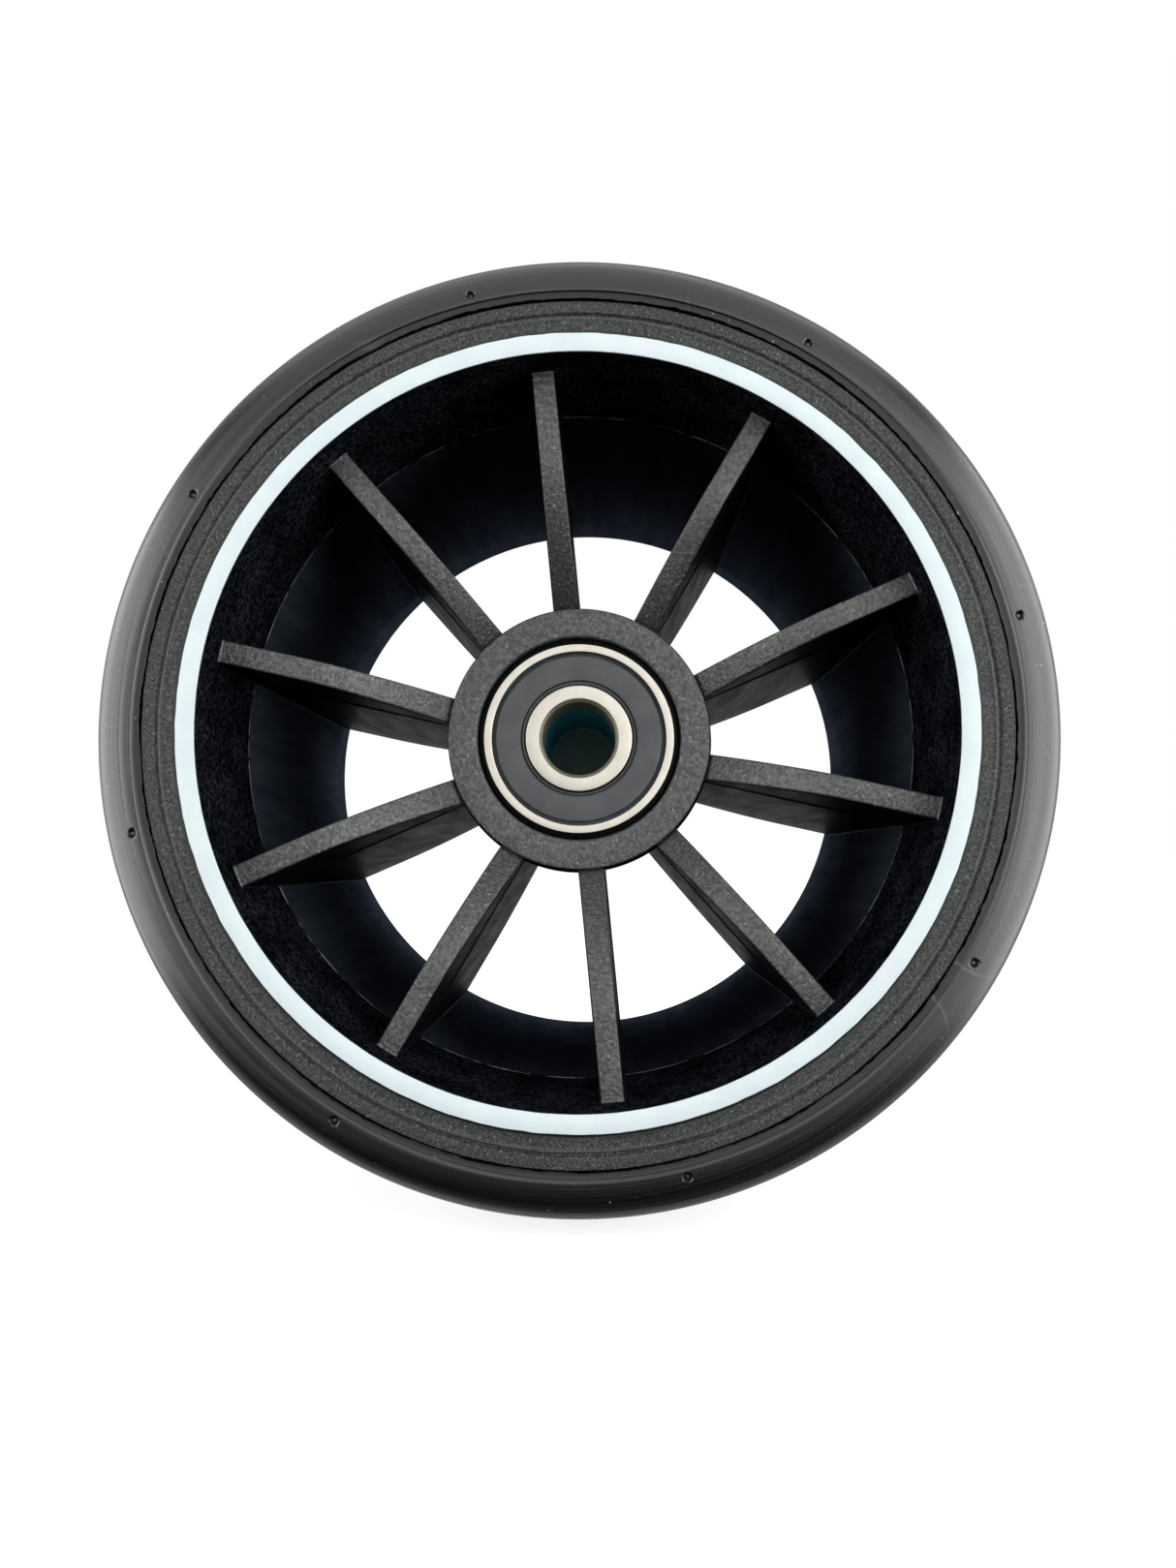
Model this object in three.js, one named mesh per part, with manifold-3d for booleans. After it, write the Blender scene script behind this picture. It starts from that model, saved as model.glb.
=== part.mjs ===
// Spoked utility wheel with a solid tyre and two sealed 608 ball bearings.
//
// Millimetres, +Z up. The wheel stands upright and spins about the Y axis. Its decorated front
// face looks along -Y, and the origin is the middle of the wheel.
//
// The plastic core is one moulding in reality. It is built here as a rim barrel, a hub boss and
// ten spokes with a small gap between them, so that each one is a simple solid.

import * as THREE from "three";
import { mergeVertices } from "three/addons/utils/BufferGeometryUtils.js";
import Module from "manifold-3d";

const wasm = await Module();
wasm.setup();

// ---------------------------------------------------------------- driving dimensions

const WHEEL_WIDTH = 66;
const HALF_WIDTH = WHEEL_WIDTH / 2;
const JOIN_GAP = 0.3;

// Tyre
const TYRE_RADIUS = 50;
const TYRE_INNER_RADIUS = 43.3;
const TYRE_BEAD_DEPTH = 0.2;
const TYRE_CREASE_RADIUS = 43.8;
const TYRE_FACE_RADIUS = 44;
const SHOULDER_CENTRE_RADIUS = 44.66;
const SHOULDER_RADIUS = 3.6;
const SHOULDER_DROP = 0.07;
const SHOULDER_START = 11.5;
const SHOULDER_STEPS = 6;
const CROWN_SLOPE = 7.3;
const CROWN_STEPS = 3;
const TYRE_LOCK_DEPTH = 4;
const TYRE_LOCK_RADIUS = 41.1;
const VENT_COUNT = 8;
const VENT_FIRST_ANGLE = 13.8;
const VENT_RING_RADIUS = 44.8;
const VENT_RADIUS = 0.45;
const VENT_DEPTH = 0.5;

// Plastic core
const RIM_LIP_RADIUS = 37.6;
const REAR_LIP_RADIUS = 37.3;
const RIM_PARTING_RADIUS = 36.9;
const PARTING_DEPTH = 15.5;
const RIM_OUTER_RADIUS = 43;
const RIM_BAND_DEPTH = 0.45;
const RIM_BAND_RADIUS = 39.9;
const RIM_GROOVE_RADIUS = 41.6;
const RIM_GROOVE_HALF_WIDTH = 0.25;
const RIM_GROOVE_DEPTH = 0.4;
const RIM_WAIST_RADIUS = 40.8;
const STRIPE_INNER_RADIUS = 37.65;
const STRIPE_OUTER_RADIUS = 39.6;
const STRIPE_THICKNESS = 0.3;
const STRIPE_BED_RADIUS = 39.7;

const SPOKE_COUNT = 10;
const SPOKE_FIRST_ANGLE = 95.5;
const SPOKE_EDGE_DEPTH = 4.1;
const SPOKE_HUB_DEPTH = 12.9;
const SPOKE_BEND_RADIUS = 28.5;
const SPOKE_EDGE_HALF_THICKNESS = 1.15;
const SPOKE_PARTING_HALF_THICKNESS = 1.45;
const SPOKE_CURVE_POWER = 1.6;
const SPOKE_CURVE_STEPS = 5;

const HUB_FACE_DEPTH = 12.45;
const HUB_RADIUS = 14.3;
const HUB_PARTING_RADIUS = 14.6;
const HUB_SEAT_RADIUS = 11.05;
const HUB_BORE_RADIUS = 9.8;
const HUB_CHAMFER = 0.35;

// 608 bearing: 8 x 22 x 7 mm with seven balls of 5/32 inch
const BEARING_WIDTH = 7;
const BEARING_OUTER_RADIUS = 11;
const BEARING_BORE_RADIUS = 4;
const BEARING_FACE_DEPTH = 12.6;
const BEARING_CHAMFER = 0.45;
const OUTER_LAND_RADIUS = 9.5;
const OUTER_RACEWAY_SHOULDER = 1.75;
const INNER_LAND_RADIUS = 5.8;
const BALL_COUNT = 7;
const BALL_RADIUS = 1.984;
const PITCH_RADIUS = 7.5;
const RACEWAY_RADIUS = 2.1;
const RACEWAY_STEPS = 5;
const SEAL_RECESS = 0.25;
const SEAL_THICKNESS = 0.6;
const SEAL_CLEARANCE = 0.12;
const CAGE_INNER_RADIUS = 6.85;
const CAGE_OUTER_RADIUS = 8.15;
const CAGE_OPEN_EDGE = -0.9;
const CAGE_BACK_EDGE = 2.5;
const CAGE_POCKET_RADIUS = 2.1;
const CAGE_POCKET_LENGTH = 4;

// Spacer tube between the two inner rings
const SPACER_OUTER_RADIUS = 5.6;
const SPACER_BORE_RADIUS = 4.05;

// Facets around the wheel, the hub and the bearings
const WHEEL_FACETS = 48;
const HUB_FACETS = 40;
const BEARING_FACETS = 30;
const BALL_FACETS = 10;
const BALL_RINGS = 6;
const VENT_FACETS = 8;
const POCKET_FACETS = 14;

// ---------------------------------------------------------------- materials

const tyreRubber = new THREE.MeshStandardMaterial({ color: 0x4b4e4d, roughness: 0.62, metalness: 0 });
const corePlastic = new THREE.MeshStandardMaterial({ color: 0x3a3b3c, roughness: 0.7, metalness: 0 });
const stripePaint = new THREE.MeshStandardMaterial({ color: 0xe6f3f8, roughness: 0.45, metalness: 0 });
const bearingSteel = new THREE.MeshStandardMaterial({ color: 0xd8d4c8, roughness: 0.28, metalness: 1 });
const sealRubber = new THREE.MeshStandardMaterial({ color: 0x3d3f45, roughness: 0.55, metalness: 0 });
const cageNylon = new THREE.MeshStandardMaterial({ color: 0xcfc9b8, roughness: 0.5, metalness: 0 });
const spacerSteel = new THREE.MeshStandardMaterial({ color: 0x2f6470, roughness: 0.4, metalness: 1 });

// ---------------------------------------------------------------- helpers

const radians = THREE.MathUtils.degToRad;

// A depth is measured from the wheel's front plane towards its rear plane.
const yAtDepth = (depth) => depth - HALF_WIDTH;

// Closed ring around the Y axis from a profile of [radius, y] points.
function ring(profile, facets) {
  const area = profile.reduce((sum, [r, y], i) => {
    const [nextR, nextY] = profile[(i + 1) % profile.length];
    return sum + r * nextY - nextR * y;
  }, 0);
  const ordered = area > 0 ? profile : [...profile].reverse();
  const points = [...ordered, ordered[0]].map(([r, y]) => new THREE.Vector2(r, y));
  return new THREE.LatheGeometry(points, facets);
}

function toSolid(geometry) {
  const bare = geometry.clone();
  bare.deleteAttribute("normal");
  bare.deleteAttribute("uv");
  const merged = mergeVertices(bare, 1e-4);
  const mesh = new wasm.Mesh({
    numProp: 3,
    vertProperties: new Float32Array(merged.attributes.position.array),
    triVerts: new Uint32Array(merged.index.array),
  });
  return new wasm.Manifold(mesh);
}

function toGeometry(solid) {
  const mesh = solid.getMesh();
  const geometry = new THREE.BufferGeometry();
  geometry.setAttribute("position", new THREE.BufferAttribute(mesh.vertProperties, 3));
  geometry.setIndex(new THREE.BufferAttribute(mesh.triVerts, 1));
  geometry.computeVertexNormals();
  return geometry;
}

function addPart(parent, name, geometry, material) {
  const mesh = new THREE.Mesh(geometry, material);
  mesh.name = name;
  parent.add(mesh);
  return mesh;
}

// Mirrors a profile to the rear half, keeping it in order round the section.
const mirrored = (profile) => profile.map(([r, y]) => [r, -y]).reverse();

// Position on a circle in the wheel's plane, the angle turning from +X towards +Z.
function onCircle(radius, degrees, y) {
  const angle = radians(degrees);
  return new THREE.Vector3(radius * Math.cos(angle), y, radius * Math.sin(angle));
}

// ---------------------------------------------------------------- tyre

// A narrow bead beside the rim steps up at a crease to the face, which curves away into a round
// shoulder and a shallow crown. A tongue inside locks into the rim's waist.
function tyreProfile() {
  const front = [
    [TYRE_INNER_RADIUS, yAtDepth(TYRE_BEAD_DEPTH)],
    [TYRE_CREASE_RADIUS, yAtDepth(TYRE_BEAD_DEPTH)],
    [TYRE_FACE_RADIUS, yAtDepth(0)],
  ];
  const sweep = 90 - CROWN_SLOPE - SHOULDER_START;
  for (let i = 0; i <= SHOULDER_STEPS; i += 1) {
    const turn = radians(SHOULDER_START + (sweep * i) / SHOULDER_STEPS);
    const radius = SHOULDER_CENTRE_RADIUS + SHOULDER_RADIUS * Math.sin(turn);
    const depth = SHOULDER_DROP + SHOULDER_RADIUS * (1 - Math.cos(turn));
    front.push([radius, yAtDepth(depth)]);
  }
  const [edgeRadius, edgeY] = front[front.length - 1];
  for (let i = 1; i < CROWN_STEPS; i += 1) {
    const along = i / CROWN_STEPS;
    const rise = 1 - (1 - along) ** 2;
    front.push([edgeRadius + (TYRE_RADIUS - edgeRadius) * rise, edgeY * (1 - along)]);
  }
  const lockY = yAtDepth(TYRE_LOCK_DEPTH);
  return [
    ...front,
    [TYRE_RADIUS, 0],
    ...mirrored(front),
    [TYRE_INNER_RADIUS, -lockY],
    [TYRE_LOCK_RADIUS, -lockY],
    [TYRE_LOCK_RADIUS, lockY],
    [TYRE_INNER_RADIUS, lockY],
  ];
}

function buildTyre() {
  let solid = toSolid(ring(tyreProfile(), WHEEL_FACETS));
  for (let i = 0; i < VENT_COUNT; i += 1) {
    const vent = new THREE.CylinderGeometry(VENT_RADIUS, VENT_RADIUS, VENT_DEPTH * 2, VENT_FACETS);
    const spot = onCircle(VENT_RING_RADIUS, VENT_FIRST_ANGLE + (360 * i) / VENT_COUNT, yAtDepth(0));
    vent.translate(spot.x, spot.y, spot.z);
    solid = solid.subtract(toSolid(vent));
  }
  return toGeometry(solid);
}

// ---------------------------------------------------------------- plastic core

function rimProfile() {
  const bandY = yAtDepth(RIM_BAND_DEPTH);
  const lipY = yAtDepth(2 * STRIPE_THICKNESS);
  const grooveY = yAtDepth(RIM_BAND_DEPTH + RIM_GROOVE_DEPTH);
  const waistY = yAtDepth(TYRE_LOCK_DEPTH + JOIN_GAP);
  const face = [
    [RIM_BAND_RADIUS, bandY],
    [RIM_GROOVE_RADIUS - RIM_GROOVE_HALF_WIDTH, bandY],
    [RIM_GROOVE_RADIUS, grooveY],
    [RIM_GROOVE_RADIUS + RIM_GROOVE_HALF_WIDTH, bandY],
    [RIM_OUTER_RADIUS, bandY],
    [RIM_OUTER_RADIUS, yAtDepth(TYRE_LOCK_DEPTH - JOIN_GAP)],
    [RIM_WAIST_RADIUS, yAtDepth(TYRE_LOCK_DEPTH - JOIN_GAP)],
  ];
  return [
    [RIM_PARTING_RADIUS, yAtDepth(PARTING_DEPTH)],
    [RIM_LIP_RADIUS, lipY],
    [STRIPE_BED_RADIUS, lipY],
    ...face,
    ...mirrored(face),
    [STRIPE_BED_RADIUS, HALF_WIDTH],
    [REAR_LIP_RADIUS, HALF_WIDTH],
  ];
}

function stripeProfile() {
  return [
    [STRIPE_INNER_RADIUS, -HALF_WIDTH],
    [STRIPE_OUTER_RADIUS, -HALF_WIDTH],
    [STRIPE_OUTER_RADIUS, yAtDepth(STRIPE_THICKNESS)],
    [STRIPE_INNER_RADIUS, yAtDepth(STRIPE_THICKNESS)],
  ];
}

// Hub boss: a bearing seat at each end, with a narrower bore between the two shoulders.
function hubProfile() {
  const faceY = yAtDepth(HUB_FACE_DEPTH);
  const shoulderY = yAtDepth(BEARING_FACE_DEPTH + BEARING_WIDTH + JOIN_GAP / 2);
  const seat = [
    [HUB_RADIUS - HUB_CHAMFER, faceY],
    [HUB_SEAT_RADIUS + HUB_CHAMFER, faceY],
    [HUB_SEAT_RADIUS, faceY + HUB_CHAMFER],
    [HUB_SEAT_RADIUS, shoulderY],
    [HUB_BORE_RADIUS, shoulderY],
  ];
  return [
    [HUB_RADIUS, faceY + HUB_CHAMFER],
    ...seat,
    ...mirrored(seat),
    [HUB_RADIUS, -faceY - HUB_CHAMFER],
    [HUB_PARTING_RADIUS, yAtDepth(PARTING_DEPTH)],
  ];
}

// Radius of a drafted wall at a depth between its lip and the parting plane.
function wallRadius(lip, lipDepth, parting, depth) {
  return THREE.MathUtils.mapLinear(depth, lipDepth, PARTING_DEPTH, lip, parting);
}

// Outline of one side of a spoke, as [radius, depth] from the rim along the free edge to the hub
// and back along the parting plane. The edge is straight at the rim, then falls towards the hub.
function spokeOutline(edgeDepth, hubDepth, rimRadius, hubRadius) {
  const rimParting = RIM_PARTING_RADIUS - JOIN_GAP;
  const hubParting = HUB_PARTING_RADIUS + JOIN_GAP;
  const outline = [[rimRadius - JOIN_GAP, edgeDepth]];
  for (let i = 0; i <= SPOKE_CURVE_STEPS; i += 1) {
    const along = i / SPOKE_CURVE_STEPS;
    const radius = THREE.MathUtils.lerp(SPOKE_BEND_RADIUS, hubRadius + JOIN_GAP, along);
    const depth = THREE.MathUtils.lerp(edgeDepth, hubDepth, along ** SPOKE_CURVE_POWER);
    outline.push([radius, depth]);
  }
  return [...outline, [hubParting, PARTING_DEPTH], [rimParting, PARTING_DEPTH]];
}

// One side of a spoke as a solid that grows thicker from its free edge to the parting plane.
function spokeSide(outline) {
  const points = outline.map(([radius, depth]) => new THREE.Vector2(radius, yAtDepth(depth)));
  const shape = new THREE.Shape(points);
  const geometry = new THREE.ExtrudeGeometry(shape, { depth: 1, bevelEnabled: false });
  const [edgeY, partingY] = [points[0].y, yAtDepth(PARTING_DEPTH)];
  const position = geometry.attributes.position;
  for (let i = 0; i < position.count; i += 1) {
    const share = (position.getY(i) - edgeY) / (partingY - edgeY);
    const half = THREE.MathUtils.lerp(SPOKE_EDGE_HALF_THICKNESS, SPOKE_PARTING_HALF_THICKNESS, share);
    position.setZ(i, position.getZ(i) > 0.5 ? half : -half);
  }
  return toSolid(geometry);
}

function buildSpoke() {
  const rearEdge = WHEEL_WIDTH - SPOKE_EDGE_DEPTH;
  const rearHub = WHEEL_WIDTH - SPOKE_HUB_DEPTH;
  const rimFront = wallRadius(RIM_LIP_RADIUS, 0, RIM_PARTING_RADIUS, SPOKE_EDGE_DEPTH);
  const rimRear = wallRadius(REAR_LIP_RADIUS, WHEEL_WIDTH, RIM_PARTING_RADIUS, rearEdge);
  const front = spokeOutline(SPOKE_EDGE_DEPTH, SPOKE_HUB_DEPTH, rimFront, HUB_RADIUS);
  const rear = spokeOutline(rearEdge, rearHub, rimRear, HUB_RADIUS);
  return toGeometry(spokeSide(front).add(spokeSide(rear)));
}

// ---------------------------------------------------------------- ball bearings

// Profiles are drawn about the bearing's own middle plane, its outboard side towards -Y.
function racewayArc(fromDegrees, toDegrees) {
  const points = [];
  for (let i = 0; i <= RACEWAY_STEPS; i += 1) {
    const angle = radians(THREE.MathUtils.lerp(fromDegrees, toDegrees, i / RACEWAY_STEPS));
    points.push([PITCH_RADIUS + RACEWAY_RADIUS * Math.cos(angle), RACEWAY_RADIUS * Math.sin(angle)]);
  }
  return points;
}

function outerRingProfile() {
  const half = BEARING_WIDTH / 2;
  const shoulder = racewayEdgeAngle(OUTER_RACEWAY_SHOULDER);
  return [
    [OUTER_LAND_RADIUS, -half],
    [BEARING_OUTER_RADIUS - BEARING_CHAMFER, -half],
    [BEARING_OUTER_RADIUS, -half + BEARING_CHAMFER],
    [BEARING_OUTER_RADIUS, half - BEARING_CHAMFER],
    [BEARING_OUTER_RADIUS - BEARING_CHAMFER, half],
    [OUTER_LAND_RADIUS, half],
    ...racewayArc(shoulder, -shoulder),
  ];
}

function innerRingProfile() {
  const half = BEARING_WIDTH / 2;
  const shoulder = racewayEdgeAngle(PITCH_RADIUS - INNER_LAND_RADIUS);
  return [
    [BEARING_BORE_RADIUS + BEARING_CHAMFER, -half],
    [INNER_LAND_RADIUS, -half],
    ...racewayArc(180 + shoulder, 180 - shoulder),
    [INNER_LAND_RADIUS, half],
    [BEARING_BORE_RADIUS + BEARING_CHAMFER, half],
    [BEARING_BORE_RADIUS, half - BEARING_CHAMFER],
    [BEARING_BORE_RADIUS, -half + BEARING_CHAMFER],
  ];
}

// Angle at which a raceway circle meets a shoulder that stands this far from the pitch circle.
function racewayEdgeAngle(shoulderDistance) {
  return THREE.MathUtils.radToDeg(Math.acos(shoulderDistance / RACEWAY_RADIUS));
}

function sealProfile(side) {
  const face = side * (BEARING_WIDTH / 2 - SEAL_RECESS);
  const back = side * (BEARING_WIDTH / 2 - SEAL_RECESS - SEAL_THICKNESS);
  return [
    [INNER_LAND_RADIUS + SEAL_CLEARANCE, face],
    [OUTER_LAND_RADIUS - SEAL_CLEARANCE, face],
    [OUTER_LAND_RADIUS - SEAL_CLEARANCE, back],
    [INNER_LAND_RADIUS + SEAL_CLEARANCE, back],
  ];
}

// Crown cage: a ring open on one side, with a round pocket for each ball.
function buildCage() {
  const blank = [
    [CAGE_INNER_RADIUS, CAGE_OPEN_EDGE],
    [CAGE_OUTER_RADIUS, CAGE_OPEN_EDGE],
    [CAGE_OUTER_RADIUS, CAGE_BACK_EDGE],
    [CAGE_INNER_RADIUS, CAGE_BACK_EDGE],
  ];
  let solid = toSolid(ring(blank, BEARING_FACETS));
  for (let i = 0; i < BALL_COUNT; i += 1) {
    const angle = (360 * i) / BALL_COUNT;
    const pocket = new THREE.CylinderGeometry(
      CAGE_POCKET_RADIUS,
      CAGE_POCKET_RADIUS,
      CAGE_POCKET_LENGTH,
      POCKET_FACETS,
    );
    pocket.rotateZ(radians(90));
    pocket.translate(PITCH_RADIUS, 0, 0);
    pocket.rotateY(-radians(angle));
    solid = solid.subtract(toSolid(pocket));
  }
  return toGeometry(solid);
}

// One bearing with its own group, its middle plane at the given y.
function addBearing(parent, side, y) {
  const bearing = new THREE.Group();
  bearing.position.y = y;
  parent.add(bearing);
  const outerRing = ring(outerRingProfile(), BEARING_FACETS);
  const innerRing = ring(innerRingProfile(), BEARING_FACETS);
  addPart(bearing, `${side}_outer_ring`, outerRing, bearingSteel);
  addPart(bearing, `${side}_inner_ring`, innerRing, bearingSteel);
  addPart(bearing, `${side}_seal_a`, ring(sealProfile(-1), BEARING_FACETS), sealRubber);
  addPart(bearing, `${side}_seal_b`, ring(sealProfile(1), BEARING_FACETS), sealRubber);
  addPart(bearing, `${side}_cage`, buildCage(), cageNylon);
  for (let i = 0; i < BALL_COUNT; i += 1) {
    const ball = addPart(
      bearing,
      `${side}_ball_${i + 1}`,
      new THREE.SphereGeometry(BALL_RADIUS, BALL_FACETS, BALL_RINGS),
      bearingSteel,
    );
    ball.position.copy(onCircle(PITCH_RADIUS, (360 * i) / BALL_COUNT, 0));
  }
}

function spacerProfile(halfLength) {
  return [
    [SPACER_BORE_RADIUS, -halfLength],
    [SPACER_OUTER_RADIUS, -halfLength],
    [SPACER_OUTER_RADIUS, halfLength],
    [SPACER_BORE_RADIUS, halfLength],
  ];
}

// ---------------------------------------------------------------- assembly

const wheel = new THREE.Group();

addPart(wheel, "tyre", buildTyre(), tyreRubber);
addPart(wheel, "rim_barrel", ring(rimProfile(), WHEEL_FACETS), corePlastic);
addPart(wheel, "rim_stripe", ring(stripeProfile(), WHEEL_FACETS), stripePaint);
addPart(wheel, "hub_boss", ring(hubProfile(), HUB_FACETS), corePlastic);

const spokeGeometry = buildSpoke();
for (let i = 0; i < SPOKE_COUNT; i += 1) {
  const number = String(i + 1).padStart(2, "0");
  const spoke = addPart(wheel, `spoke_${number}`, spokeGeometry, corePlastic);
  spoke.rotation.y = -radians(SPOKE_FIRST_ANGLE + (360 * i) / SPOKE_COUNT);
}

const bearingMiddle = yAtDepth(BEARING_FACE_DEPTH + BEARING_WIDTH / 2);
addBearing(wheel, "front", bearingMiddle);
addBearing(wheel, "rear", -bearingMiddle);

const spacerHalfLength = -bearingMiddle - BEARING_WIDTH / 2;
addPart(wheel, "bearing_spacer", ring(spacerProfile(spacerHalfLength), BEARING_FACETS), spacerSteel);

export default wheel;
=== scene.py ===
"""Spoked wheel with a solid tyre: the looks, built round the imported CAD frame."""

import math

import bpy
from mathutils import Matrix, Vector, noise


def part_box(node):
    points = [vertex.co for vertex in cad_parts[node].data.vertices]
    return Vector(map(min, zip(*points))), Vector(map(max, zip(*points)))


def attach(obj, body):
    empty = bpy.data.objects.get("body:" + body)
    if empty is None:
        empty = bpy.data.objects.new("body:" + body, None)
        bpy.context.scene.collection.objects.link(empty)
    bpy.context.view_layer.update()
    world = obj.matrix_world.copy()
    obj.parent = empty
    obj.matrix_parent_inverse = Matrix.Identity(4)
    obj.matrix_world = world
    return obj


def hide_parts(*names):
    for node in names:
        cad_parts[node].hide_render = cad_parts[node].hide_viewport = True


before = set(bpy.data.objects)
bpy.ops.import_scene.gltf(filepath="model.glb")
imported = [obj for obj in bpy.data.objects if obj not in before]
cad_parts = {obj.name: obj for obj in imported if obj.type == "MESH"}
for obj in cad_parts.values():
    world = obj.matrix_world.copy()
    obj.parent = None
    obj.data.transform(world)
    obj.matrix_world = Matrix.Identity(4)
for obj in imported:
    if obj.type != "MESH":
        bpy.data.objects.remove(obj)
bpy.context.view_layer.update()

# ---------------------------------------------------------------- sizes from the frame, in mm

MM = 0.001


def box_mm(node):
    """Lowest and highest corners of a CAD node, in millimetres."""
    low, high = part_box(node)
    return Vector(low) / MM, Vector(high) / MM


FRONT = box_mm("rim_stripe")[0].y
BACK = box_mm("rim_barrel")[1].y
TYRE_RADIUS = box_mm("tyre")[1].x
RIM_RADIUS = box_mm("rim_barrel")[1].x
HUB_FACE = box_mm("hub_boss")[0].y - FRONT
BEARING_FACE = box_mm("front_outer_ring")[0].y - FRONT
BEARING_RADIUS = box_mm("front_outer_ring")[1].z
BEARING_WIDTH = box_mm("front_outer_ring")[1].y - box_mm("front_outer_ring")[0].y
SPACER_HALF = box_mm("bearing_spacer")[1].y
WHEEL_WIDTH = BACK - FRONT

# ---------------------------------------------------------------- details, in mm

PARTING_DEPTH = 15.5
LIP_RADIUS = 37.6
REAR_LIP_RADIUS = 37.3
PARTING_RADIUS = 36.9
FLASH_HEIGHT = 0.07
FLASH_WIDTH = 0.1
RIM_FLASH_HALF = 0.12
FLASH_PRESENCE = 0.65
FLASH_DRIFT = 0.05
LIP_WAVER = 0.025
MOULD_MISMATCH = 0.03
PAINT_OUTER_RADIUS = 39.52
PAINT_THICKNESS = 0.04
BAND_DEPTH = 0.45
RIDGE_RADIUS = 41.25
GROOVE_RADIUS = 41.55
GROOVE_DEPTH = 0.25
REAR_GROOVE_DEPTH = 0.5
WAIST_RADIUS = 40.8
WAIST_DEPTH = 3.7

HUB_RADIUS = 14.3
HUB_PARTING_RADIUS = 14.6
SEAT_RADIUS = 11.03
HUB_BORE_RADIUS = 9.8
SEAT_CLEARANCE = 0.02

SPOKE_COUNT = 10
SPOKE_FIRST_ANGLE = 95.5
SPOKE_EDGE_DEPTH = 4.1
SPOKE_HUB_DEPTH = 12.9
SPOKE_BEND_RADIUS = 28.5
SPOKE_CURVE_POWER = 1.6
SPOKE_EDGE_HALF = 1.15
SPOKE_PARTING_HALF = 1.45
SPOKE_CORNER = 0.22
SPOKE_FILLET = 0.16
SPOKE_ROOT_SINK = 0.2

TYRE_BEAD_GAP = 0.14
TYRE_BEAD_DEPTH = 0.17
LEAST_BEAD_GAP = 0.02
INNER_CLEARANCE = 0.05
LOCK_CLEARANCE = 0.15
CREASE_RADIUS = 43.8
SHOULDER_CENTRE_RADIUS = 44.66
SHOULDER_RADIUS = 3.7
FACE_START_RADIUS = 44.0
FACE_TURN = 11.5
FACE_CURVE = 7.0
CROWN_SLOPE = 7.3
VENT_COUNT = 8
VENT_FIRST_ANGLE = 13.8
VENT_RING_RADIUS = 44.8
VENT_RADIUS = 0.42
VENT_FLOOR_DEPTH = 0.42

# Height in mm, frequency and seed of each wave in the bead's ragged edge.
BEAD_WAVES = ((0.08, 11, 1.7), (0.07, 46, 4.2), (0.05, 110, 6.1))

BALL_COUNT = 7
PITCH_RADIUS = 7.5
BALL_RADIUS = 1.984
RACEWAY_RADIUS = 2.06
RACEWAY_REACH_DEGREES = 52
LAND_RADIUS = 9.5
INNER_LAND = 5.8
BORE_RADIUS = 4.0
BORE_CHAMFER = 0.37
RING_FACE_RADIUS = 10.3
SEAL_RECESS = 0.26
SPACER_BORE_RADIUS = 4.04
SPACER_RADIUS = 5.6

WHEEL_SEGMENTS = 360
BEARING_SEGMENTS = 160
CORNER_STEPS = 4
SPOKE_SPANS = 34
FACE_STEPS = 6
SHOULDER_STEPS = 16
CROWN_STEPS = 12

# ---------------------------------------------------------------- stage in mm, lights in metres

FLOOR_GAP = 0.05
FLOOR_REACH = 5000
SHADE_CARD_PLACE = 5.0
CAMERA_LENS = 36.06
CAMERA_PLACE = (2.94, -147.65, -14.02)
CAMERA_TILT = 4.055
CAMERA_PAN = 0.88
FRONT_AMBIENT = (0.02, 0.02, 0.021, 1.0)
BACK_AMBIENT = (0.5, 0.52, 0.54, 1.0)
BACK_AMBIENT_START = 0.35
PLAIN_TINT = (1.0, 1.0, 1.0)
WINDOW_TINT = (0.965, 1.0, 0.955)

# Name, place, aim, size, brightness and colour of each area light.
SOFTBOXES = (
    ("right", (0.6, -0.31, 0.085), (0, -0.31, 0.085), (1.14, 0.89), 2.8, WINDOW_TINT),
    ("left", (-0.6, -0.24, 0.06), (0, -0.24, 0.06), (1.0, 0.68), 2.9, WINDOW_TINT),
    ("top", (-0.03, -0.3, 0.6), (-0.03, -0.3, 0), (0.95, 1.1), 0.9, PLAIN_TINT),
    ("front", (0.03, -0.75, 0.13), (0, 0, 0), (0.5, 0.46), 1.5, PLAIN_TINT),
    ("front_right", (0.43, -0.72, 0.12), (0, 0, 0), (0.42, 0.56), 2.0, WINDOW_TINT),
    ("front_left", (-0.46, -0.62, 0.1), (0, 0, 0), (0.34, 0.46), 1.5, PLAIN_TINT),
)

# ---------------------------------------------------------------- profiles and meshes

NEARLY_STRAIGHT_DEGREES = 88.5
FILLET_SHARE = 0.49
NOISE_GAIN = 1.6


def at_depth(depth):
    """The y of a depth that is measured from the front lip towards the back."""
    return FRONT + depth


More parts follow.
